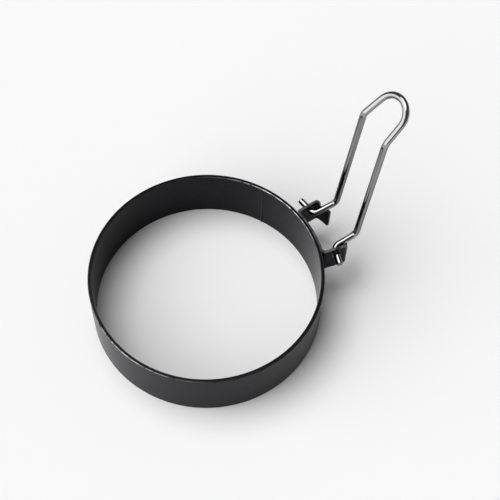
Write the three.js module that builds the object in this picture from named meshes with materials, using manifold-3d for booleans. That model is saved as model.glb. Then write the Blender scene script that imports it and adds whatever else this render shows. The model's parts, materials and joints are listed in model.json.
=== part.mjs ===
import * as THREE from 'three';
import { mergeVertices } from 'three/addons/utils/BufferGeometryUtils.js';
import Module from 'manifold-3d';

// An egg ring: a coated steel hoop, a folded sheet bracket on its outer wall, and a bent wire handle that
// folds over the hoop. Millimetres, +Z up, the hoop stands on z = 0 and the handle reaches out along +X.

// Ring band
const ringDiameter = 90;
const ringHeight = 24;
const bandThickness = 1.4;
const bandEdgeRadius = 0.3;

// Hinge bracket
const sheetThickness = 1;
const seatGap = 0.3;
const earSpacing = 22.2;
const earFlare = THREE.MathUtils.degToRad(7);
const earHeight = 12.8;
const earDrop = 2.2;
const rootBendRadius = 1.5;
const pivotReach = 5.62;
const pivotDepth = 5.7;
const holeClearance = 0.45;

// The outer part of each ear: folded in towards its twin, a finger above the wire and a stop below it
const foldReach = 4.25;
const stopFold = THREE.MathUtils.degToRad(70);
const stopBendRadius = 1.5;
const stopLength = 6;
const stopFlare = 1.2;
const stopTipRadius = 0.6;
const stopShoulderRadius = 0.9;
const notchSetback = 2.1;
const notchRadius = 0.6;
const fingerLength = 1.2;
const fingerRadius = 3;
const fingerRootRadius = 0.5;

// Wire handle
const wireDiameter = 2.5;
const pinSplay = THREE.MathUtils.degToRad(12.3);
const pinOverhang = 4.9;
const pinInset = 2.8;
const pinBendRadius = 2.6;
const shortLegLength = 10.6;
const shortLegRise = THREE.MathUtils.degToRad(13);
const kneeBendRadius = 3;
const kneeSpacing = 16.1;
const longLegLength = 56;
const longLegRise = THREE.MathUtils.degToRad(84);
const neckBendRadius = 5;
const neckSpacing = 15.3;
const loopLength = 14.7;
const loopRise = THREE.MathUtils.degToRad(47);
const loopRadius = 6.7;

// Facets
const ringFacets = 96;
const wireFacets = 12;
const holeFacets = 24;
const edgeSteps = 3;
const webSteps = 10;
const bendStep = THREE.MathUtils.degToRad(15);
const cutMargin = 2;

// Places worked out from the sizes above, from the hoop's axis and its base
const ringRadius = ringDiameter / 2;
const wireRadius = wireDiameter / 2;
const webRadius = ringRadius + seatGap + sheetThickness / 2;
const earTop = ringHeight - earDrop;
const earBottom = earTop - earHeight;
const pivot = new THREE.Vector3(ringRadius + pivotReach, 0, ringHeight - pivotDepth);

const { Manifold, Mesh } = await loadSolids();

async function loadSolids() {
  const wasm = await Module();
  wasm.setup();
  return wasm;
}

// A closed geometry as a solid that can be joined and cut
function solidOf(geometry) {
  const bare = geometry.clone();
  bare.deleteAttribute('normal');
  bare.deleteAttribute('uv');
  const merged = mergeVertices(bare);
  return new Manifold(new Mesh({
    numProp: 3,
    vertProperties: new Float32Array(merged.attributes.position.array),
    triVerts: new Uint32Array(merged.index.array),
  }));
}

function geometryOf(solid) {
  const { vertProperties, triVerts } = solid.getMesh();
  const geometry = new THREE.BufferGeometry();
  geometry.setAttribute('position', new THREE.BufferAttribute(vertProperties, 3));
  geometry.setIndex(new THREE.BufferAttribute(triVerts, 1));
  geometry.computeVertexNormals();
  return geometry;
}

// Points along a run of straight lines, with an arc at each corner that has a radius
function roundedRun(corners, closed) {
  const count = corners.length;
  return corners.flatMap(({ at, radius = 0 }, index) => {
    const atEnd = !closed && (index === 0 || index === count - 1);
    if (atEnd || radius === 0) {
      return [at.clone()];
    }
    const back = corners[(index + count - 1) % count].at.clone().sub(at).normalize();
    const ahead = corners[(index + 1) % count].at.clone().sub(at).normalize();
    const halfOpening = back.angleTo(ahead) / 2;
    const bisector = back.clone().add(ahead).normalize();
    const centre = at.clone().addScaledVector(bisector, radius / Math.sin(halfOpening));
    const tangentLength = radius / Math.tan(halfOpening);
    const first = at.clone().addScaledVector(back, tangentLength).sub(centre);
    const last = at.clone().addScaledVector(ahead, tangentLength).sub(centre);
    return arcPoints(centre, first, last);
  });
}

// Points on the arc about a centre from one spoke to another
function arcPoints(centre, first, last) {
  const axis = first.clone().cross(last).normalize();
  const turn = first.angleTo(last);
  const steps = Math.max(2, Math.ceil(turn / bendStep));
  return Array.from({ length: steps + 1 }, (_, step) => (
    first.clone().applyAxisAngle(axis, turn * step / steps).add(centre)
  ));
}

function shapeOf(points) {
  return new THREE.Shape(points.map(({ x, y }) => new THREE.Vector2(x, y)));
}

function corner(x, y, radius) {
  return { at: new THREE.Vector3(x, y, 0), radius };
}

// A prism across the whole part, from an outline drawn in side view as x along and y up
function sidePrism(outline) {
  const width = ringDiameter;
  const prism = new THREE.ExtrudeGeometry(shapeOf(outline), { depth: width, bevelEnabled: false });
  return prism.rotateX(Math.PI / 2).translate(0, width / 2, 0);
}

// The hoop: a flat strip section with eased edges, turned about the axis
function ringBandGeometry() {
  const inner = ringRadius - bandThickness;
  const eased = [[inner, 0], [ringRadius, 0], [ringRadius, ringHeight], [inner, ringHeight]];
  const starts = [Math.PI, -Math.PI / 2, 0, Math.PI / 2];
  const profile = eased.flatMap(([radius, height], index) => {
    const centreX = radius + (radius === inner ? bandEdgeRadius : -bandEdgeRadius);
    const centreY = height + (height === 0 ? bandEdgeRadius : -bandEdgeRadius);
    return Array.from({ length: edgeSteps + 1 }, (_, step) => {
      const angle = starts[index] + Math.PI / 2 * step / edgeSteps;
      return new THREE.Vector2(
        centreX + bandEdgeRadius * Math.cos(angle),
        centreY + bandEdgeRadius * Math.sin(angle),
      );
    });
  });
  profile.push(profile[0].clone());
  return new THREE.LatheGeometry(profile, ringFacets).rotateX(Math.PI / 2);
}

// The level direction at an angle from +X
function heading(angle) {
  return new THREE.Vector3(Math.cos(angle), Math.sin(angle), 0);
}

// The middle of the bracket's sheet in plan, for the ear at +Y: from the web out along the ear, then folded
// in. The root's bend touches the web's arc and the ear's line, so its centre is one bend radius from both.
function earPlan() {
  const hole = new THREE.Vector3(pivot.x, earSpacing / 2, 0);
  const outward = heading(earFlare);
  const beside = hole.clone().addScaledVector(heading(earFlare - Math.PI / 2), rootBendRadius);
  const along = beside.dot(outward);
  const holeReach = along - Math.sqrt(along ** 2 - beside.lengthSq() + (webRadius + rootBendRadius) ** 2);
  const bendCentre = beside.clone().addScaledVector(outward, -holeReach);
  const webEnd = bendCentre.clone().setLength(webRadius);
  const earStart = hole.clone().addScaledVector(outward, -holeReach);
  const foldCorner = hole.clone().addScaledVector(outward, foldReach);
  const folded = heading(earFlare - stopFold);
  const root = arcPoints(bendCentre, webEnd.sub(bendCentre), earStart.clone().sub(bendCentre));
  const ear = roundedRun([
    { at: earStart },
    { at: foldCorner, radius: stopBendRadius },
    { at: foldCorner.clone().addScaledVector(folded, stopLength) },
  ], false);
  return {
    webHalfAngle: Math.atan2(bendCentre.y, bendCentre.x),
    line: [...root, ...ear.slice(1)],
    foldCorner,
    folded,
  };
}

// The bracket's section in plan: the sheet's middle line, offset by half the sheet to each side
function bracketSection(plan) {
  const web = Array.from({ length: webSteps - 1 }, (_, step) => (
    heading(plan.webHalfAngle * (2 * (step + 1) / webSteps - 1)).multiplyScalar(webRadius)
  ));
  const mirrored = plan.line.map((point) => new THREE.Vector3(point.x, -point.y, 0)).reverse();
  const middle = [...mirrored, ...web, ...plan.line];
  const offset = (side) => middle.map((point, index) => {
    const before = middle[Math.max(index - 1, 0)];
    const after = middle[Math.min(index + 1, middle.length - 1)];
    const along = after.clone().sub(before).normalize();
    const across = new THREE.Vector3(-along.y, along.x, 0);
    return point.clone().addScaledVector(across, side * sheetThickness / 2);
  });
  return shapeOf([...offset(-1), ...offset(1).reverse()]);
}

// The outline of an ear in side view: root, notch, flared stop, seat under the wire, and the finger above it
function earOutline(plan) {
  const alongFold = (length) => plan.foldCorner.x + length * plan.folded.x;
  const seatAt = (x) => pivot.z + (x - pivot.x) * Math.tan(shortLegRise)
    - (wireRadius + seatGap) / Math.cos(shortLegRise);
  const stopEnd = alongFold(stopLength) + cutMargin;
  const shoulder = alongFold(stopLength);
  const fingerEnd = alongFold(fingerLength);
  return roundedRun([
    corner(0, earBottom, 0),
    corner(alongFold(notchSetback), earBottom, notchRadius),
    corner(shoulder, earBottom - stopFlare, stopTipRadius),
    corner(stopEnd, earBottom - stopFlare, 0),
    corner(stopEnd, seatAt(shoulder) - stopShoulderRadius, 0),
    corner(shoulder, seatAt(shoulder), stopShoulderRadius),
    corner(fingerEnd, seatAt(fingerEnd), fingerRootRadius),
    corner(fingerEnd, earTop, fingerRadius),
    corner(0, earTop, 0),
  ], true);
}

// The round hole through one ear, square to the ear's sheet
function pivotHole(side) {
  const radius = wireRadius + holeClearance;
  const length = sheetThickness + 2 * cutMargin;
  return new THREE.CylinderGeometry(radius, radius, length, holeFacets)
    .rotateZ(side * earFlare)
    .translate(pivot.x, side * earSpacing / 2, pivot.z);
}

// The bracket: the folded sheet at full height, trimmed to the ears' outline and pierced
function hingeBracketGeometry() {
  const plan = earPlan();
  const sheetBottom = earBottom - stopFlare - cutMargin;
  const sheet = new THREE.ExtrudeGeometry(bracketSection(plan), {
    depth: earTop + cutMargin - sheetBottom,
    bevelEnabled: false,
  }).translate(0, 0, sheetBottom);
  const blank = solidOf(sheet).intersect(solidOf(sidePrism(earOutline(plan))));
  return geometryOf([1, -1].reduce((solid, side) => solid.subtract(solidOf(pivotHole(side))), blank));
}

// A path through given stations, sampled at the stations themselves
class BentWire extends THREE.Curve {
  constructor(stations) {
    super();
    this.stations = stations;
  }

  getPoint(t, target = new THREE.Vector3()) {
    const place = t * (this.stations.length - 1);
    const index = Math.min(Math.floor(place), this.stations.length - 2);
    return target.lerpVectors(this.stations[index], this.stations[index + 1], place - index);
  }

  getUtoTmapping(u) {
    return u;
  }
}

// The middle line of the wire at +Y, from the pin's cut end to where the loop's round end starts
function halfWire() {
  const pinAxis = heading(Math.PI / 2 + pinSplay);
  const hole = pivot.clone().setY(earSpacing / 2);
  const rise = (angle) => new THREE.Vector3(Math.cos(angle), 0, Math.sin(angle));
  const knee = pivot.clone().addScaledVector(rise(shortLegRise), shortLegLength);
  const neck = knee.clone().addScaledVector(rise(longLegRise), longLegLength);
  const loopCentre = neck.clone().addScaledVector(rise(loopRise), loopLength - loopRadius);
  knee.setY(kneeSpacing / 2);
  neck.setY(neckSpacing / 2);
  const toNeck = neck.clone().sub(loopCentre);
  const tangentTurn = Math.acos(loopRadius / toNeck.length());
  const loopNormal = rise(loopRise).cross(new THREE.Vector3(0, 1, 0)).normalize();
  const spoke = toNeck.clone().setLength(loopRadius).applyAxisAngle(loopNormal, -tangentTurn);
  const run = roundedRun([
    { at: hole.clone().addScaledVector(pinAxis, sheetThickness / 2 + pinOverhang) },
    { at: hole.clone().addScaledVector(pinAxis, -pinInset), radius: pinBendRadius },
    { at: knee, radius: kneeBendRadius },
    { at: neck, radius: neckBendRadius },
    { at: loopCentre.clone().add(spoke) },
  ], false);
  return { run, loopCentre, spoke, loopTop: rise(loopRise).multiplyScalar(loopRadius) };
}

// The handle: the wire's section carried along the +Y half, round the loop and back down the -Y half
function wireHandleGeometry() {
  const { run, loopCentre, spoke, loopTop } = halfWire();
  const halfLoop = arcPoints(loopCentre, spoke, loopTop).slice(1);
  const half = [...run, ...halfLoop];
  const mirrored = half.slice(0, -1).reverse().map((point) => new THREE.Vector3(point.x, -point.y, point.z));
  const stations = [...half, ...mirrored];
  const section = Array.from({ length: wireFacets }, (_, index) => {
    const angle = 2 * Math.PI * index / wireFacets;
    return new THREE.Vector2(wireRadius * Math.cos(angle), wireRadius * Math.sin(angle));
  });
  return new THREE.ExtrudeGeometry(new THREE.Shape(section), {
    steps: stations.length - 1,
    extrudePath: new BentWire(stations),
    bevelEnabled: false,
  });
}

const blackCoating = { color: 0x1b1b1d, roughness: 0.45, metalness: 0.1 };
const brightWire = { color: 0xd6d8dc, roughness: 0.12, metalness: 1 };

function addPiece(group, name, geometry, finish) {
  const mesh = new THREE.Mesh(geometry, new THREE.MeshStandardMaterial(finish));
  mesh.name = name;
  group.add(mesh);
}

// The part's origin is under the middle of its box, on the surface that the hoop stands on
const eggRing = new THREE.Group();
addPiece(eggRing, 'ring_band', ringBandGeometry(), blackCoating);
addPiece(eggRing, 'hinge_bracket', hingeBracketGeometry(), blackCoating);
addPiece(eggRing, 'wire_handle', wireHandleGeometry(), brightWire);
const reach = new THREE.Box3().setFromObject(eggRing);
eggRing.position.x = -(reach.min.x + reach.max.x) / 2;

export default eggRing;
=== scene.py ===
"""An egg ring with a fold-over wire handle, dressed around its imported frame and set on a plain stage."""

import json
import math

import bmesh
import bpy
import numpy as np
from bpy.props import FloatProperty, FloatVectorProperty, PointerProperty
from mathutils import Matrix, Vector


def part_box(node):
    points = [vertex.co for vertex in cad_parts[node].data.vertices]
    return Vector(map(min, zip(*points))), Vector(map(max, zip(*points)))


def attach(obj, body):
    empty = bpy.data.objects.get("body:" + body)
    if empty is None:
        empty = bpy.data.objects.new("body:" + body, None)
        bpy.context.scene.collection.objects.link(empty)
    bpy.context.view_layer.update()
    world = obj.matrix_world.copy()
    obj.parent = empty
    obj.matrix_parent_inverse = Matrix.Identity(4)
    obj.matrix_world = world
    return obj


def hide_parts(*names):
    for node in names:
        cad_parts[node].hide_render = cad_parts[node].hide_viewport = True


bl_info = {
    "name": "Egg Ring",
    "version": (1, 0, 0),
    "blender": (4, 5, 0),
    "location": "3D View > Sidebar > Egg Ring",
    "description": "Makes the coated hoop, its hinge bracket and the bright wire handle on a plain stage",
    "category": "Add Mesh",
}

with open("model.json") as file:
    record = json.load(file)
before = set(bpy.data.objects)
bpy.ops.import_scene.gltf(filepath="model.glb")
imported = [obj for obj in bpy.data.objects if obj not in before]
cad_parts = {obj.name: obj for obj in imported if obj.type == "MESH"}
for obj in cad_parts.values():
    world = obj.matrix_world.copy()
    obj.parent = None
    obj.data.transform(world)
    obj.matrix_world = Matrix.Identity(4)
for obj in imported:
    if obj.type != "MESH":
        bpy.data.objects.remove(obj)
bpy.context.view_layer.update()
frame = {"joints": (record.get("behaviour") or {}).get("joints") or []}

MM = 0.001

# Places that the frame gives, in metres
BAND_LOW, BAND_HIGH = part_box("ring_band")
RING_RADIUS = (BAND_HIGH.y - BAND_LOW.y) / 2
RING_HEIGHT = BAND_HIGH.z
RING_AXIS = np.array([(BAND_LOW.x + BAND_HIGH.x) / 2, 0, 0])
PIVOT = np.array(frame["joints"][0]["pos_m"]) - RING_AXIS

# How finely the surfaces are drawn
BAND_COLUMNS = 360
SEAM_COLUMNS = 33
SEAM_SPREAD = 4
EDGE_STEPS = 8
SIDE_STOPS = np.array([0.02, 0.35, 0.65, 0.98])
BEND_STEP = math.radians(4)
WEB_COLUMNS = 12
EAR_COLUMNS = 16
STOP_COLUMNS = 12
LOWER_ROWS = 12
UPPER_ROWS = 6
SPOKE_STEPS = 6
WIRE_SIDES = 32
CUT_STEPS = 5
STAMPED_SEGMENTS = 3
STAMPED_ANGLE = math.radians(50)
MERGE_DISTANCE = 1e-6

# Wear on the edges: on the bracket, least on the hoop, and the power by which the hoop's falls off. The
# hoop's two stretches are real wear and also a painted highlight, set where the light catches the rim
BRACKET_WEAR = 0.3
LEAST_WEAR_AND_HIGHLIGHT = 0.05
WEAR_AND_HIGHLIGHT_FALL = 8

# The coating's patterns: their sizes, the noise levels that show, and how far they change the roughness
COATING_NAME = "satin_black_coating"
CLOUD_SIZE = 6 * MM
CLOUD_LEVELS = (0.35, 0.7)
CLOUD_CHANGE = 0.06
PEEL_SIZE = 0.45 * MM
PEEL_CHANGE = 0.12
PEEL_BUMP = 0.7
RUB_SIZE = 2.5 * MM
RUB_LEVELS = (0.25, 0.65)
SEAM_CHANGE = 0.05

# The wire's patterns in the same way. The lines are stretched round the wire and along it
CHROME_NAME = "bright_chrome_wire"
LINE_STRETCH = (9, 9, 0.6)
LINE_CHANGE = 0.06
LINE_BUMP = 0.08
SMEAR_SIZE = 5 * MM
SMEAR_CHANGE = 0.05
CUT_LEVELS = (0.1, 0.5)

NOISE_MIDDLE = 0.5
BUMP_DEPTH = 0.02 * MM

# The stage: the floor's place under the hoop, and the cosines between which the sky's bright side fades
FLOOR_DROP = 0.1 * MM
SKY_FADE = (0.6, 0.88)
WHITE = (1, 1, 1, 1)

# Sockets of the Mix node that belong to colours
MIX_FACTOR, MIX_FIRST, MIX_SECOND, MIX_RESULT = 0, 6, 7, 2


def length(name, description, millimetres):
    """A size in metres, given here in millimetres."""
    return FloatProperty(
        name=name, description=description, default=millimetres * MM, min=0, unit="LENGTH", precision=5
    )


def angle(name, description, degrees):
    """An angle in radians, given here in degrees."""
    return FloatProperty(name=name, description=description, default=math.radians(degrees), subtype="ANGLE")


def share(name, description, default):
    """A number from 0 to 1."""
    return FloatProperty(
        name=name, description=description, default=default, min=0, max=1, subtype="FACTOR"
    )


def amount(name, description, default):
    """A plain number from 0 up."""
    return FloatProperty(name=name, description=description, default=default, min=0)


def colour(name, description, default):
    """A linear colour."""
    return FloatVectorProperty(
        name=name, description=description, default=default, min=0, max=1, size=3, subtype="COLOR"
    )


class BandSettings(bpy.types.PropertyGroup):
    """Sizes of the hoop's rolled strip."""

    wall: length("Wall", "Thickness of the rolled strip", 1.4)
    edge_radius: length("Edge radius", "Rounding of the strip's four edges", 0.3)
    # The two stretches on the rim are rubbed bare and also paint its highlights where the light catches it
    wear_and_highlight_turn: angle("Worn turn", "Turn from the handle to the first of two worn stretches", 22)
    seam_turn: angle("Seam turn", "Turn from the handle to the butt weld, seen from above", 33.5)
    seam_width: length("Seam width", "Half width of the weld's bead", 0.35)
    seam_height: length("Seam height", "How far the bead stands in from the inner wall at the base", 0.3)


class BracketSettings(bpy.types.PropertyGroup):
    """Sizes of the folded sheet bracket."""

    sheet: length("Sheet", "Thickness of the sheet", 1)
    seat_gap: length("Seat gap", "Gap left between pieces that touch", 0.3)
    ear_spacing: length("Ear spacing", "Distance between the ears where the wire passes through", 22.2)
    ear_flare: angle("Ear flare", "How far each ear leans out from the handle's direction", 7)
    ear_drop: length("Ear drop", "Height of the hoop's rim above the ears", 2.2)
    ear_height: length("Ear height", "Height of an ear", 12.8)
    fold_reach: length("Fold reach", "Distance of an ear's fold from its hole", 4.25)
    root_bend: length("Root bend", "Bend radius between the web and an ear", 1.5)
    hole_radius: length("Hole radius", "Radius of the hole that a wire end turns in", 1.7)
    stop_fold: angle("Stop fold", "How far an ear's outer part is folded in", 70)
    stop_bend: length("Stop bend", "Bend radius of that fold", 1.5)
    stop_length: length("Stop length", "Length of the folded part", 6)
    stop_flare: length("Stop flare", "How far the stop's tip hangs below the ear", 1.2)
    flare_start: length("Flare start", "Distance of the flare from the fold", 1)
    stop_corner: length("Stop corner", "Rounding of the stop's corners", 1)
    finger_corner: length("Finger corner", "Rounding of the finger above the wire", 3)
    edge_break: length("Edge break", "Rounding of the stamped edges", 0.14)


class WireSettings(bpy.types.PropertyGroup):
    """Sizes of the bent wire."""

    diameter: length("Diameter", "Diameter of the wire", 2.5)
    pin_overhang: length("Pin overhang", "How far a wire end stands out of its ear", 4.9)
    pin_inset: length("Pin inset", "Distance of a wire end's bend from its ear", 2.8)
    pin_splay: angle("Pin splay", "How far a wire end leans from the line between the holes", 12.3)
    pin_bend: length("Pin bend", "Bend radius of a wire end", 2.6)
    short_leg: length("Short leg", "Length of the short leg in side view", 10.6)
    short_rise: angle("Short rise", "Rise of the short leg", 13)
    knee_bend: length("Knee bend", "Bend radius between the legs", 3)
    knee_spacing: length("Knee spacing", "Distance between the knees", 16.1)
    long_leg: length("Long leg", "Length of the long leg in side view", 56)
    long_rise: angle("Long rise", "Rise of the long leg", 84)
    neck_bend: length("Neck bend", "Bend radius between the long leg and the loop", 5)
    neck_spacing: length("Neck spacing", "Distance between the necks", 15.3)
    loop_length: length("Loop length", "Length of the loop in side view", 14.7)
    loop_rise: angle("Loop rise", "Rise of the loop", 47)
    loop_radius: length("Loop radius", "Radius of the loop's round end", 6.7)
    cut_break: length("Cut break", "Rounding of the cut ends", 0.35)


class FinishSettings(bpy.types.PropertyGroup):
    """Colours and gloss of the two finishes."""

    coating: colour("Coating", "Colour of the non-stick coating", (0.0042, 0.0039, 0.0072))
    coating_bloom: colour(
        "Coating bloom", "Colour of the coating where it is a little thinner", (0.0068, 0.0064, 0.0105)
    )
    # Bare steel on the hoop's rim also stands in for a painted highlight in two stretches
    bare: colour(
        "Bare edge", "Colour of the steel where the coating is rubbed off the edges", (0.6, 0.6, 0.61)
    )
    bare_share: share("Bare share", "How far the coating is rubbed off the edges", 0.9)
    coating_roughness: share("Coating roughness", "Roughness of the coating", 0.25)
    coating_gloss: share("Coating gloss", "How strongly the coating mirrors what it faces", 0.067)
    chrome: colour("Chrome", "Colour of the plated wire", (0.32, 0.323, 0.328))
    chrome_edge: colour(
        "Chrome edge", "Tint of the plated wire where it is seen edge-on", (0.12, 0.12, 0.125)
    )
    chrome_roughness: share("Chrome roughness", "Roughness of the plated wire", 0.08)
    cut: colour("Cut", "Colour of the wire's cut ends", (0.3, 0.3, 0.31))
    cut_roughness: share("Cut roughness", "Roughness of the wire's cut ends", 0.35)


class StageSettings(bpy.types.PropertyGroup):
    """The floor, the lights and the camera."""

    floor: colour("Floor", "Colour of the floor", (0.93, 0.93, 0.93))
    floor_side: length("Floor side", "Side of the floor", 30000)
    key_light: amount("Key light", "Strength of the key light", 1.74)
    key_turn: angle("Key turn", "Direction of the key light, from the handle's, seen from above", 125)
    key_rise: angle("Key rise", "Height of the key light above the horizon", 72)
    key_spread: angle("Key spread", "How wide the key light looks from the object", 44)
    sky_bright: amount("Sky bright", "Strength of the sky's bright side", 2.4)
    sky_dim: amount("Sky dim", "Strength of the rest of the sky", 0.12)
    sky_turn: angle(
        "Sky turn", "Direction of the sky's bright side, from the handle's, seen from above", 180
    )
    sky_rise: angle("Sky rise", "Height of the middle of the sky's bright side", 18)
    view_turn: angle("View turn", "Turn of the camera, where 0 looks along +Y", -28.5)
    view_rise: angle("View rise", "Height of the camera above the horizon", 59.976)
    view_roll: angle("View roll", "Roll of the camera", 2.085)
    view_distance: length("View distance", "Distance of the camera from the hoop's middle", 453.4)
    view_right: length("View right", "How far the camera is moved to its right", 16.19)
    view_up: length("View up", "How far the camera is moved up its own view", 15.43)
    view_lens: amount("Lens", "Focal length of the camera in millimetres", 84.03)


def unit(vector):
    """The vector at length 1, or each row of an array of vectors."""
    return vector / np.linalg.norm(vector, axis=-1, keepdims=True)


def arc(centre, first, last):
    """Points of an arc: the centre, plus the first spoke times the turn's cosine, plus the spoke square to
    it times the turn's sine."""
    radius = np.linalg.norm(first)
    along = first / radius
    square = unit(last - along * (last @ along))
    turn = math.acos(np.clip(unit(last) @ along, -1, 1))
    turns = np.linspace(0, turn, max(2, math.ceil(turn / BEND_STEP)) + 1)[:, None]
    return centre + radius * (along * np.cos(turns) + square * np.sin(turns))


def bent_path(corners, radii):
    """Straight lines through the corners, with an arc that touches both lines at each inner corner."""
    runs = [corners[:1]]
    for before, at, after, radius in zip(corners, corners[1:], corners[2:], radii):
        back = unit(before - at)
        ahead = unit(after - at)
        half_opening = math.acos(back @ ahead) / 2
        centre = at + unit(back + ahead) * radius / math.sin(half_opening)
        tangent = radius / math.tan(half_opening)
        runs.append(arc(centre, at + back * tangent - centre, at + ahead * tangent - centre))
    runs.append(corners[-1:])
    return np.vstack(runs)


def distances(path):
    """How far along the path each of its points lies."""
    return np.concatenate([[0], np.cumsum(np.linalg.norm(np.diff(path, axis=0), axis=1))])


def grid_faces(rows, columns, wrap_rows=False, wrap_columns=False):
    """Quads of a grid whose points are numbered row by row. A wrapped side closes on itself."""
    across = np.arange(rows if wrap_rows else rows - 1)
    along = np.arange(columns if wrap_columns else columns - 1)
    row, column = np.meshgrid(across, along, indexing="ij")
    next_row = (row + 1) % rows
    next_column = (column + 1) % columns
    corners = [
        row * columns + column,
        next_row * columns + column,
        next_row * columns + next_column,
        row * columns + next_column,
    ]
    return np.stack(corners, axis=-1).reshape(-1, 4)


def drawn_in(distance, radius):
    """How far an edge draws in near a rounded corner: the radius less the circle's half chord there."""
    short = np.clip(radius - distance, 0, radius)
    return radius - np.sqrt(radius**2 - short**2)


def strip_section(inner, outer, height, radius):
    """The strip's section as radius and height, walked round: at each corner a quarter circle, and then
    stops on the straight side to the next one. The second array is 1 in the middle of a rounded edge and 0
    on the sides."""
    turn = np.linspace(0, math.pi / 2, EDGE_STEPS + 1)
    starts = np.array([math.pi, -math.pi / 2, 0, math.pi / 2])
    centres = np.array(
        [
            [inner + radius, radius],
            [outer - radius, radius],
            [outer - radius, height - radius],
            [inner + radius, height - radius],
        ]
    )
    turns = starts[:, None] + turn
    corners = centres[:, None] + radius * np.stack([np.cos(turns), np.sin(turns)], axis=-1)
    leaving = corners[:, -1]
    arriving = np.roll(corners[:, 0], -1, axis=0)
    sides = leaving[:, None] + SIDE_STOPS[:, None] * (arriving - leaving)[:, None]
    section = np.concatenate([corners, sides], axis=1).reshape(-1, 2)
    edge = np.tile(np.concatenate([np.sin(2 * turn), np.zeros(len(SIDE_STOPS))]), len(centres))
    return section, edge


def band_surface(band):
    """The strip's section turned about the hoop's axis: radius times cosine and sine of the turn, and
    height. At the weld the inner wall stands in by a bell curve, which falls to nothing from the base to
    the rim. The edges are rubbed bare in two opposite stretches, by a power of the cosine of the turn from
    them; these stretches are real wear and also a painted highlight, set where the light catches the rim."""
    section, edge = strip_section(RING_RADIUS - band.wall, RING_RADIUS, RING_HEIGHT, band.edge_radius)
    across_seam = np.linspace(-SEAM_SPREAD, SEAM_SPREAD, SEAM_COLUMNS) * band.seam_width / RING_RADIUS
    even = np.linspace(0, 2 * math.pi, BAND_COLUMNS, endpoint=False)
    turn = np.unique(np.concatenate([even, band.seam_turn + across_seam]))
    seam = np.exp(-(((turn - band.seam_turn) * RING_RADIUS / band.seam_width) ** 2))
    # Edge wear, strongest in two opposite stretches, where it also paints the rim's highlight
    wear_and_highlight = LEAST_WEAR_AND_HIGHLIGHT + (1 - LEAST_WEAR_AND_HIGHLIGHT) * np.cos(turn - band.wear_and_highlight_turn) ** WEAR_AND_HIGHLIGHT_FALL
    ground = np.cos(math.pi / 2 * section[:, 1] / RING_HEIGHT)
    thickening = 1 + band.seam_height / band.wall * seam[:, None] * ground
    radius = RING_RADIUS - (RING_RADIUS - section[:, 0]) * thickening
    height = np.broadcast_to(section[:, 1], radius.shape)
    points = np.stack([radius * np.cos(turn)[:, None], radius * np.sin(turn)[:, None], height], axis=-1)
    marks = {
        # The edge mark carries both the wear and the painted rim highlight
        "edge": (wear_and_highlight[:, None] * edge).ravel(),
        "seam": np.broadcast_to(seam[:, None], radius.shape).ravel(),
    }
    faces = grid_faces(len(turn), len(section), wrap_rows=True, wrap_columns=True)
    return points.reshape(-1, 3), faces.tolist(), marks


def heading(turn):
    """The level direction at a turn from the handle's, seen from above."""
    return np.array([math.cos(turn), math.sin(turn), 0])


def fold_line(bracket):
    """Half of the sheet's middle line in plan: an arc along the hoop, a bend that touches both the hoop's
    arc and the ear's line, the ear, and the fold of the stop. Also gives how far along it the ear's flat
    part starts, the hole lies, the fold starts and the fold ends."""
    web_radius = RING_RADIUS + bracket.seat_gap + bracket.sheet / 2
    hole = np.array([PIVOT[0], bracket.ear_spacing / 2, 0])
    outward = heading(bracket.ear_flare)
    beside = hole + bracket.root_bend * heading(bracket.ear_flare - math.pi / 2)
    spare = (web_radius + bracket.root_bend) ** 2 - beside @ beside
    hole_reach = beside @ outward - math.sqrt((beside @ outward) ** 2 + spare)
    bend = beside - outward * hole_reach
    ear = hole - outward * hole_reach
    web_end = unit(bend) * web_radius
    turn = np.linspace(0, math.atan2(bend[1], bend[0]), WEB_COLUMNS)[:-1]
    web = web_radius * np.stack([np.cos(turn), np.sin(turn), 0 * turn], axis=-1)
    root = arc(bend, web_end - bend, ear - bend)
    fold = hole + outward * bracket.fold_reach
    stop = fold + heading(bracket.ear_flare - bracket.stop_fold) * bracket.stop_length
    outer = bent_path(np.array([ear, fold, stop]), [bracket.stop_bend])
    line = np.vstack([web, root, outer[1:]])
    along = distances(line)
    ear_start = along[len(web) + len(root) - 1]
    return line, along, ear_start, ear_start + hole_reach, along[len(web) + len(root)], along[-2]


def blank_grid(columns, low, high, rows):
    """A patch of the flat blank: columns along the sheet, rows at shares of the way between two edges."""
    height = low[:, None] + (high - low)[:, None] * rows
    points = np.stack([np.broadcast_to(columns[:, None], height.shape), height], axis=-1)
    return points.reshape(-1, 2), grid_faces(len(columns), len(rows))


def blank_round_hole(columns, left, right, upper, hole, radius):
    """A patch of the flat blank round a hole: straight spokes run from the circle to the patch's edge. The
    left and right sides are given by their rows' heights, the upper side by its heights at the columns."""
    edge = np.concatenate(
        [
            np.stack([np.full(len(left) - 1, columns[0]), left[:-1]], axis=-1),
            np.stack([columns[:-1], upper[:-1]], axis=-1),
            np.stack([np.full(len(right) - 1, columns[-1]), right[:0:-1]], axis=-1),
            np.stack([columns[:0:-1], np.full(len(columns) - 1, left[0])], axis=-1),
        ]
    )
    circle = hole + radius * unit(edge - hole)
    steps = np.linspace(0, 1, SPOKE_STEPS + 1)[:, None, None]
    points = circle + steps * (edge - circle)
    return points.reshape(-1, 2), grid_faces(SPOKE_STEPS + 1, len(edge), wrap_columns=True)


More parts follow.
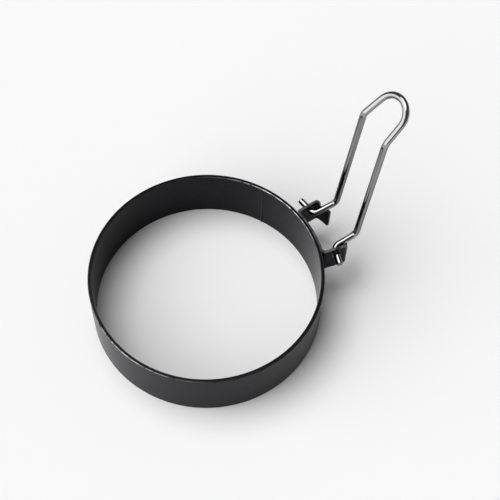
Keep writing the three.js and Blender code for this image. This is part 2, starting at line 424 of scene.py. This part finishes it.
def bracket_surface(bracket, wire):
    """The sheet's middle surface: a flat blank of distance along the sheet and height, folded by carrying
    it along the plan line. The blank is a grid with a round hole in each ear, a finger above the wire and a
    flared stop below it, whose upper edge runs along the underside of the wire's short leg."""
    line, along, ear_start, hole_place, fold_start, fold_end = fold_line(bracket)
    stop_end = along[-1]
    top = RING_HEIGHT - bracket.ear_drop
    bottom = top - bracket.ear_height
    clear = (wire.diameter / 2 + bracket.seat_gap) / math.cos(wire.short_rise)

    def seat(columns):
        reach = np.interp(columns, along, line[:, 0]) - PIVOT[0]
        return PIVOT[2] + reach * math.tan(wire.short_rise) - clear

    def top_edge(columns):
        return top - drawn_in(fold_end - columns, bracket.finger_corner)

    lower = np.linspace(0, 1, LOWER_ROWS + 1)
    upper = np.linspace(0, 1, UPPER_ROWS + 1)
    step = seat(fold_start)
    below = bottom + (step - bottom) * lower
    above = step + (top_edge(fold_start) - step) * upper[1:]
    fold_rows = np.concatenate([below, above])
    row_shares = (fold_rows - bottom) / (fold_rows[-1] - bottom)

    web = along[along <= ear_start]
    web = np.concatenate([-web[:0:-1], web])
    web_patch = blank_grid(web, np.full(len(web), bottom), np.full(len(web), top), row_shares)

    hole = np.array([hole_place, PIVOT[2]])
    root_rows = bottom + (top - bottom) * row_shares
    ear_columns = np.linspace(ear_start, fold_start, EAR_COLUMNS)
    ear_patch = blank_round_hole(
        ear_columns, root_rows, fold_rows, top_edge(ear_columns), hole, bracket.hole_radius
    )

    fold_columns = along[(along >= fold_start) & (along <= fold_end)]
    finger_patch = blank_grid(fold_columns, seat(fold_columns), top_edge(fold_columns), upper)

    stop_share = np.sin(np.linspace(0, math.pi / 2, STOP_COLUMNS))[1:]
    stop_columns = np.concatenate([fold_columns, fold_end + (stop_end - fold_end) * stop_share])
    flare_start = fold_end + bracket.flare_start
    flare = np.clip((stop_columns - flare_start) / (stop_end - flare_start), 0, 1)
    rounding = drawn_in(stop_end - stop_columns, bracket.stop_corner)
    stop_patch = blank_grid(
        stop_columns, bottom - bracket.stop_flare * flare + rounding, seat(stop_columns) - rounding, lower
    )

    mirror = np.array([-1, 1])
    patches = [web_patch]
    for points, faces in (ear_patch, finger_patch, stop_patch):
        patches += [(points, faces), (points * mirror, faces)]
    starts = np.cumsum([0] + [len(points) for points, _ in patches[:-1]])
    blank = np.concatenate([points for points, _ in patches])
    faces = np.concatenate([faces + start for (_, faces), start in zip(patches, starts)])
    reach = np.interp(abs(blank[:, 0]), along, line[:, 0])
    side = np.sign(blank[:, 0]) * np.interp(abs(blank[:, 0]), along, line[:, 1])
    return np.stack([reach, side, blank[:, 1]], axis=-1), faces.tolist()


def wire_path(wire, bracket):
    """The wire's middle line: from the cut end of one pin through its bend, the knee and the neck to the
    loop, round the loop's arc, and back the same way mirrored. Also gives a direction that the wire never
    runs along."""
    pin = heading(math.pi / 2 + wire.pin_splay)
    hole = PIVOT + [0, bracket.ear_spacing / 2, 0]
    across = np.array([0, 1, 0])

    def rise(turn):
        return np.array([math.cos(turn), 0, math.sin(turn)])

    knee = PIVOT + rise(wire.short_rise) * wire.short_leg
    neck = knee + rise(wire.long_rise) * wire.long_leg
    centre = neck + rise(wire.loop_rise) * (wire.loop_length - wire.loop_radius)
    knee = knee + across * wire.knee_spacing / 2
    neck = neck + across * wire.neck_spacing / 2
    out_of_loop = np.cross(rise(wire.loop_rise), across)
    to_neck = neck - centre
    touch = math.acos(wire.loop_radius / np.linalg.norm(to_neck))
    spoke = math.cos(touch) * unit(to_neck) - math.sin(touch) * np.cross(out_of_loop, unit(to_neck))
    spoke = spoke * wire.loop_radius
    corners = np.array(
        [
            hole + pin * (bracket.sheet / 2 + wire.pin_overhang),
            hole - pin * wire.pin_inset,
            knee,
            neck,
            centre + spoke,
        ]
    )
    half = bent_path(corners, [wire.pin_bend, wire.knee_bend, wire.neck_bend])
    loop = arc(centre, spoke, rise(wire.loop_rise) * wire.loop_radius)
    half = np.vstack([half[:-1], loop])
    mirrored = half[-2::-1] * [1, -1, 1]
    return np.vstack([half, mirrored]), out_of_loop


def wire_surface(wire, bracket):
    """A round section carried along the middle line: the line, plus the radius times the cosine and sine of
    the turn about it. At the cut ends the radius draws in along a quarter circle, and a flat cap closes
    each."""
    path, out_of_loop = wire_path(wire, bracket)
    quarter = np.linspace(0, math.pi / 2, CUT_STEPS + 1)
    set_back = wire.cut_break * (1 - np.cos(quarter))
    narrowing = wire.cut_break * (1 - np.sin(quarter))
    first = path[0] + set_back[:, None] * unit(path[1] - path[0])
    last = path[-1] + set_back[::-1, None] * unit(path[-2] - path[-1])
    path = np.vstack([first, path[1:-1], last])
    inner = np.zeros(len(path) - 2 * len(quarter))
    narrowing = np.concatenate([narrowing, inner, narrowing[::-1]])
    radius = wire.diameter / 2 - narrowing
    cut = narrowing / wire.cut_break

    steps = unit(np.diff(path, axis=0))
    tangent = unit(np.vstack([steps[:1], steps[:-1] + steps[1:], steps[-1:]]))
    over = unit(out_of_loop - tangent * (tangent @ out_of_loop)[:, None])
    beside = np.cross(tangent, over)
    turn = np.linspace(0, 2 * math.pi, WIRE_SIDES, endpoint=False)
    spokes = over[:, None] * np.cos(turn)[:, None] + beside[:, None] * np.sin(turn)[:, None]
    points = path[:, None] + radius[:, None, None] * spokes

    faces = grid_faces(len(path), WIRE_SIDES, wrap_columns=True).tolist()
    caps = np.arange(len(path) * WIRE_SIDES).reshape(len(path), WIRE_SIDES)[[0, -1]].tolist()
    grid = points.shape[:2]
    around = np.stack(
        [
            np.broadcast_to(np.cos(turn), grid),
            np.broadcast_to(np.sin(turn), grid),
            np.broadcast_to(distances(path)[:, None] / wire.diameter, grid),
        ],
        axis=-1,
    )
    marks = {"cut": np.broadcast_to(cut[:, None], grid).ravel(), "around": around.reshape(-1, 3)}
    return points.reshape(-1, 3), faces + caps, marks


def piece_mesh(name, points, faces, marks=None):
    """A smooth mesh, moved from the hoop's axis to its place, with doubles merged and faces outwards."""
    mesh = bpy.data.meshes.new(name)
    mesh.from_pydata((points + RING_AXIS).tolist(), [], faces)
    for mark, values in (marks or {}).items():
        if values.ndim == 1:
            mesh.attributes.new(mark, "FLOAT", "POINT").data.foreach_set("value", values)
        else:
            mesh.attributes.new(mark, "FLOAT_VECTOR", "POINT").data.foreach_set("vector", values.ravel())
    shape = bmesh.new()
    shape.from_mesh(mesh)
    bmesh.ops.remove_doubles(shape, verts=shape.verts, dist=MERGE_DISTANCE)
    bmesh.ops.recalc_face_normals(shape, faces=shape.faces)
    shape.to_mesh(mesh)
    shape.free()
    mesh.shade_smooth()
    return mesh


def mark_rim(mesh):
    """Marks an open mesh's outline as an edge: an edge on it belongs to one face."""
    edge_of_corner = np.empty(len(mesh.loops), dtype=np.int32)
    mesh.loops.foreach_get("edge_index", edge_of_corner)
    ends = np.empty(2 * len(mesh.edges), dtype=np.int32)
    mesh.edges.foreach_get("vertices", ends)
    rim = np.zeros(len(mesh.vertices))
    rim[ends.reshape(-1, 2)[np.bincount(edge_of_corner) == 1]] = BRACKET_WEAR
    mesh.attributes.new("edge", "FLOAT", "POINT").data.foreach_set("value", rim)


def add_piece(mesh, body, node, finish):
    """Puts a mesh in the scene in place of a CAD node, riding on that node's body."""
    piece = bpy.data.objects.new(mesh.name, mesh)
    bpy.context.scene.collection.objects.link(piece)
    mesh.materials.append(finish)
    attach(piece, body)
    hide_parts(node)
    return piece


class Value:
    """A shader socket that takes part in Python arithmetic. Each operation adds one Math node."""

    def __init__(self, graph, socket):
        self.graph = graph
        self.socket = socket

    def math(self, operation, first, second):
        return self.graph.node("ShaderNodeMath", {"operation": operation}, {0: first, 1: second})

    def __add__(self, other):
        return self.math("ADD", self, other)

    def __sub__(self, other):
        return self.math("SUBTRACT", self, other)

    def __rsub__(self, other):
        return self.math("SUBTRACT", other, self)

    def __mul__(self, other):
        return self.math("MULTIPLY", self, other)

    __radd__ = __add__
    __rmul__ = __mul__


class Graph:
    """The nodes of one material or world."""

    def __init__(self, owner):
        owner.use_nodes = True
        self.tree = owner.node_tree
        self.tree.nodes.clear()

    def node(self, kind, settings, sockets, output=0):
        """Adds a node, sets it up, fills or links its sockets, and gives one of its outputs."""
        node = self.tree.nodes.new(kind)
        for key, value in settings.items():
            setattr(node, key, value)
        for key, value in sockets.items():
            if isinstance(value, Value):
                self.tree.links.new(value.socket, node.inputs[key])
            else:
                node.inputs[key].default_value = value
        return Value(self, node.outputs[output]) if node.outputs else None

    def noise(self, place, size, detail):
        """Noise from 0 to 1 whose blobs are about the given size."""
        return self.node("ShaderNodeTexNoise", {}, {"Vector": place, "Scale": 1 / size, "Detail": detail})

    def between(self, value, low, high):
        """How far a value lies between two others, held to the range from 0 to 1."""
        sockets = {"Value": value, "From Min": low, "From Max": high}
        return self.node("ShaderNodeMapRange", {"interpolation_type": "SMOOTHSTEP"}, sockets)

    def bump(self, height, strength):
        """A normal that is tilted as if the height stood out of the surface."""
        sockets = {"Strength": strength, "Distance": BUMP_DEPTH, "Height": height}
        return self.node("ShaderNodeBump", {}, sockets)

    def mix(self, factor, first, second):
        """One colour or the other, by a factor."""
        sockets = {MIX_FACTOR: factor, MIX_FIRST: first, MIX_SECOND: second}
        return self.node("ShaderNodeMix", {"data_type": "RGBA"}, sockets, MIX_RESULT)


def sway(noise, change):
    """Noise as a change to either side of nothing."""
    return (noise - NOISE_MIDDLE) * change


def opaque(tint):
    """A colour property as the four numbers that a colour socket takes."""
    return (*tint, 1)


def coating_finish(finish):
    """Satin black non-stick coating: faint cloudy patches, a fine orange peel, edges where the steel begins
    to show through, which on the hoop's rim also paint its highlights, and a weld that is a shade duller."""
    material = bpy.data.materials.new(COATING_NAME)
    graph = Graph(material)
    place = graph.node("ShaderNodeTexCoord", {}, {}, "Object")
    edge = graph.node("ShaderNodeAttribute", {"attribute_name": "edge"}, {}, "Fac")
    seam = graph.node("ShaderNodeAttribute", {"attribute_name": "seam"}, {}, "Fac")
    clouds = graph.noise(place, CLOUD_SIZE, detail=3)
    peel = graph.noise(place, PEEL_SIZE, detail=2)
    rubbed = graph.between(graph.noise(place, RUB_SIZE, detail=4), *RUB_LEVELS)
    # Bare steel on the edges: rubbed wear, and on the hoop's rim also a painted highlight
    bare = rubbed * edge * finish.bare_share
    thin = graph.between(clouds, *CLOUD_LEVELS)
    tint = graph.mix(thin, opaque(finish.coating), opaque(finish.coating_bloom))
    tint = graph.mix(bare, tint, opaque(finish.bare))
    roughness = finish.coating_roughness + sway(peel, PEEL_CHANGE) + sway(clouds, CLOUD_CHANGE)
    roughness = roughness + seam * SEAM_CHANGE
    bump = graph.bump(peel, PEEL_BUMP)
    sockets = {
        "Base Color": tint,
        "Metallic": bare,
        "Roughness": roughness,
        "Specular IOR Level": finish.coating_gloss,
        "Normal": bump,
    }
    shader = graph.node("ShaderNodeBsdfPrincipled", {}, sockets)
    graph.node("ShaderNodeOutputMaterial", {}, {"Surface": shader})
    return material


def chrome_finish(finish):
    """Bright plated wire: fine lines drawn along it, and duller steel where it was cut."""
    material = bpy.data.materials.new(CHROME_NAME)
    graph = Graph(material)
    around = graph.node("ShaderNodeAttribute", {"attribute_name": "around"}, {}, "Vector")
    cut = graph.node("ShaderNodeAttribute", {"attribute_name": "cut"}, {}, "Fac")
    place = graph.node("ShaderNodeTexCoord", {}, {}, "Object")
    stretch = graph.node("ShaderNodeVectorMath", {"operation": "MULTIPLY"}, {0: around, 1: LINE_STRETCH})
    lines = graph.noise(stretch, 1, detail=3)
    smears = graph.noise(place, SMEAR_SIZE, detail=3)
    bare = graph.between(cut, *CUT_LEVELS)
    tint = graph.mix(bare, opaque(finish.chrome), opaque(finish.cut))
    plated = finish.chrome_roughness + sway(lines, LINE_CHANGE) + sway(smears, SMEAR_CHANGE)
    roughness = plated + bare * (finish.cut_roughness - finish.chrome_roughness)
    bump = graph.bump(lines, LINE_BUMP)
    sockets = {
        "Base Color": tint,
        "Roughness": roughness,
        "Metallic": 1,
        "Specular Tint": opaque(finish.chrome_edge),
        "Normal": bump,
    }
    shader = graph.node("ShaderNodeBsdfPrincipled", {}, sockets)
    graph.node("ShaderNodeOutputMaterial", {}, {"Surface": shader})
    return material


def shared_finish(name, make, finish):
    """A material that is made once and then used again."""
    return bpy.data.materials.get(name) or make(finish)


class EGGRING_OT_band(bpy.types.Operator):
    """Make the coated hoop"""

    bl_idname = "egg_ring.band"
    bl_label = "Coated Hoop"

    def execute(self, context):
        mesh = piece_mesh("coated_band", *band_surface(context.scene.egg_ring_band))
        coating = shared_finish(COATING_NAME, coating_finish, context.scene.egg_ring_finish)
        add_piece(mesh, "ring", "ring_band", coating)
        return {"FINISHED"}


class EGGRING_OT_bracket(bpy.types.Operator):
    """Make the folded hinge bracket on the hoop's outer wall"""

    bl_idname = "egg_ring.bracket"
    bl_label = "Hinge Bracket"

    def execute(self, context):
        bracket = context.scene.egg_ring_bracket
        mesh = piece_mesh("coated_bracket", *bracket_surface(bracket, context.scene.egg_ring_wire))
        mark_rim(mesh)
        coating = shared_finish(COATING_NAME, coating_finish, context.scene.egg_ring_finish)
        piece = add_piece(mesh, "ring", "hinge_bracket", coating)
        sheet = piece.modifiers.new("Sheet", "SOLIDIFY")
        sheet.thickness = bracket.sheet
        sheet.offset = 0
        sheet.use_even_offset = True
        edges = piece.modifiers.new("Stamped edges", "BEVEL")
        edges.width = bracket.edge_break
        edges.segments = STAMPED_SEGMENTS
        edges.limit_method = "ANGLE"
        edges.angle_limit = STAMPED_ANGLE
        edges.harden_normals = True
        return {"FINISHED"}


class EGGRING_OT_handle(bpy.types.Operator):
    """Make the bright wire handle"""

    bl_idname = "egg_ring.handle"
    bl_label = "Wire Handle"

    def execute(self, context):
        scene = context.scene
        mesh = piece_mesh("bright_wire", *wire_surface(scene.egg_ring_wire, scene.egg_ring_bracket))
        chrome = shared_finish(CHROME_NAME, chrome_finish, scene.egg_ring_finish)
        add_piece(mesh, "handle", "wire_handle", chrome)
        return {"FINISHED"}


def add_floor(stage):
    """A flat pale floor just under the hoop."""
    half = stage.floor_side / 2
    level = -FLOOR_DROP
    corners = [(-half, -half, level), (half, -half, level), (half, half, level), (-half, half, level)]
    mesh = bpy.data.meshes.new("floor")
    mesh.from_pydata(corners, [], [(0, 1, 2, 3)])
    material = bpy.data.materials.new("pale_floor")
    graph = Graph(material)
    shader = graph.node("ShaderNodeBsdfDiffuse", {}, {"Color": opaque(stage.floor)})
    graph.node("ShaderNodeOutputMaterial", {}, {"Surface": shader})
    mesh.materials.append(material)
    floor = bpy.data.objects.new("floor", mesh)
    bpy.context.scene.collection.objects.link(floor)


def towards(turn, rise):
    """The direction at a turn from the handle's, seen from above, and at a height above the horizon."""
    return Vector((math.cos(rise) * math.cos(turn), math.cos(rise) * math.sin(turn), math.sin(rise)))


def add_lights(stage):
    """A soft key light from above, and a dim sky with one bright side."""
    lamp = bpy.data.lights.new("key", "SUN")
    lamp.energy = stage.key_light
    lamp.angle = stage.key_spread
    key = bpy.data.objects.new("key", lamp)
    key.rotation_euler = towards(stage.key_turn, stage.key_rise).to_track_quat("Z", "Y").to_euler()
    bpy.context.scene.collection.objects.link(key)
    world = bpy.data.worlds.new("sky")
    bpy.context.scene.world = world
    graph = Graph(world)
    direction = graph.node("ShaderNodeTexCoord", {}, {}, "Generated")
    middle = towards(stage.sky_turn, stage.sky_rise)
    facing = graph.node(
        "ShaderNodeVectorMath", {"operation": "DOT_PRODUCT"}, {0: direction, 1: middle}, "Value"
    )
    strength = stage.sky_dim + graph.between(facing, *SKY_FADE) * (stage.sky_bright - stage.sky_dim)
    sky = graph.node("ShaderNodeBackground", {}, {"Color": WHITE, "Strength": strength})
    graph.node("ShaderNodeOutputWorld", {}, {"Surface": sky})


def add_camera(stage):
    """A camera that looks at the hoop's middle from a turn and a rise, moved in its own view and rolled."""
    turn, rise, roll = stage.view_turn, stage.view_rise, stage.view_roll
    level = Vector((math.cos(turn), math.sin(turn), 0))
    ahead = Vector((-math.sin(turn), math.cos(turn), 0))
    back = Vector((0, 0, math.sin(rise))) - ahead * math.cos(rise)
    over = Vector((0, 0, math.cos(rise))) + ahead * math.sin(rise)
    middle = Vector(RING_AXIS) + Vector((0, 0, RING_HEIGHT / 2))
    place = middle + back * stage.view_distance + level * stage.view_right + over * stage.view_up
    right = level * math.cos(roll) + over * math.sin(roll)
    up = over * math.cos(roll) - level * math.sin(roll)
    lens = bpy.data.cameras.new("camera")
    lens.lens = stage.view_lens
    camera = bpy.data.objects.new("camera", lens)
    camera.matrix_world = Matrix.Translation(place) @ Matrix((right, up, back)).transposed().to_4x4()
    bpy.context.scene.collection.objects.link(camera)
    bpy.context.scene.camera = camera


class EGGRING_OT_stage(bpy.types.Operator):
    """Make the floor, the lights and the camera"""

    bl_idname = "egg_ring.stage"
    bl_label = "Stage"

    def execute(self, context):
        stage = context.scene.egg_ring_stage
        add_floor(stage)
        add_lights(stage)
        add_camera(stage)
        context.scene.view_settings.view_transform = "Standard"
        return {"FINISHED"}


class EGGRING_PT_panel(bpy.types.Panel):
    """The pieces of the egg ring and their settings"""

    bl_label = "Egg Ring"
    bl_space_type = "VIEW_3D"
    bl_region_type = "UI"
    bl_category = "Egg Ring"

    def draw(self, context):
        for operator in OPERATORS:
            self.layout.operator(operator.bl_idname)
        for name, group in SETTINGS.items():
            box = self.layout.box()
            for field in group.__annotations__:
                box.prop(getattr(context.scene, name), field)


SETTINGS = {
    "egg_ring_band": BandSettings,
    "egg_ring_bracket": BracketSettings,
    "egg_ring_wire": WireSettings,
    "egg_ring_finish": FinishSettings,
    "egg_ring_stage": StageSettings,
}
OPERATORS = (EGGRING_OT_band, EGGRING_OT_bracket, EGGRING_OT_handle, EGGRING_OT_stage)


def register():
    for group in SETTINGS.values():
        bpy.utils.register_class(group)
    for name, group in SETTINGS.items():
        setattr(bpy.types.Scene, name, PointerProperty(type=group))
    for operator in OPERATORS:
        bpy.utils.register_class(operator)
    bpy.utils.register_class(EGGRING_PT_panel)


def unregister():
    bpy.utils.unregister_class(EGGRING_PT_panel)
    for operator in reversed(OPERATORS):
        bpy.utils.unregister_class(operator)
    for name in SETTINGS:
        delattr(bpy.types.Scene, name)
    for group in reversed(SETTINGS.values()):
        bpy.utils.unregister_class(group)


def main():
    """Registers the classes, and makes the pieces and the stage."""
    register()
    bpy.ops.egg_ring.band()
    bpy.ops.egg_ring.bracket()
    bpy.ops.egg_ring.handle()
    bpy.ops.egg_ring.stage()


if __name__ == "__main__":
    main()
